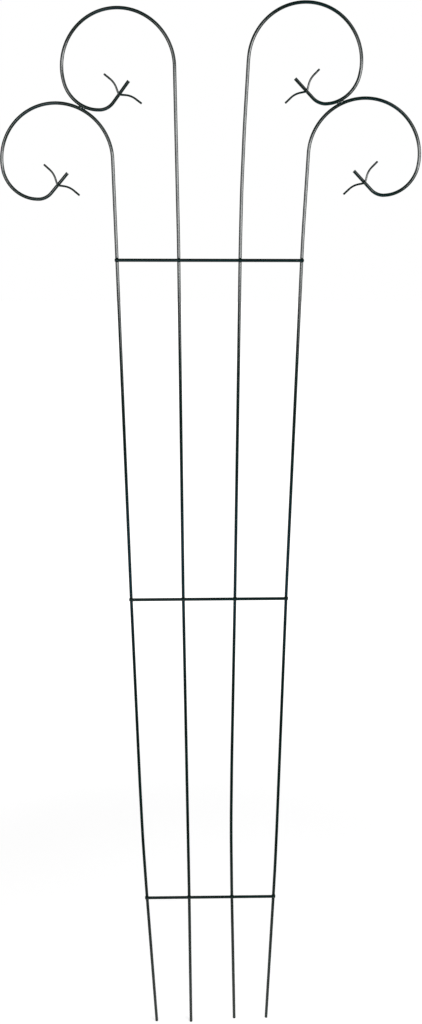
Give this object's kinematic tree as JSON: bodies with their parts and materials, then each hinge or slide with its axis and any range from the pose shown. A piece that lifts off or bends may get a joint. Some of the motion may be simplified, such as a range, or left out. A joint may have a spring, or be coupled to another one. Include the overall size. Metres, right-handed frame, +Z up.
{
  "type": "espalier frame",
  "caption": "Fan-shaped wire trellis for climbing plants: tall stakes with scrolled tops and small forked tendrils, joined by welded crossbars, legs to push into soil.",
  "frame": {"origin": "on the ground under the middle of the frame's width and depth, level with the lowest foot", "axes": "+Z up along the stakes, +X to the right as seen from the front, -Y out of the front, where the bars lie"},
  "size_m": [0.6054, 0.0113, 1.6623],
  "materials": {
    "wire_coat": "glossy dark green powder coat on round steel wire",
    "weld_coat": "the same dark green coat over uneven weld metal"
  },
  "bodies": {
    "root": {"left_outer_stake": "wire_coat", "left_inner_stake": "wire_coat", "right_inner_stake": "wire_coat", "right_outer_stake": "wire_coat", "bottom_bar": "wire_coat", "middle_bar": "wire_coat", "top_bar": "wire_coat", "left_outer_tendril": "wire_coat", "left_inner_tendril": "wire_coat", "right_inner_tendril": "wire_coat", "right_outer_tendril": "wire_coat", "weld_bottom_left_outer": "weld_coat", "weld_bottom_left_inner": "weld_coat", "weld_bottom_right_inner": "weld_coat", "weld_bottom_right_outer": "weld_coat", "weld_middle_left_outer": "weld_coat", "weld_middle_left_inner": "weld_coat", "weld_middle_right_inner": "weld_coat", "weld_middle_right_outer": "weld_coat", "weld_top_left_outer": "weld_coat", "weld_top_left_inner": "weld_coat", "weld_top_right_inner": "weld_coat", "weld_top_right_outer": "weld_coat", "weld_scroll_left": "weld_coat", "weld_scroll_right": "weld_coat", "weld_tendril_left_outer": "weld_coat", "weld_tendril_left_inner": "weld_coat", "weld_tendril_right_inner": "weld_coat", "weld_tendril_right_outer": "weld_coat"}
  },
  "joints": []
}
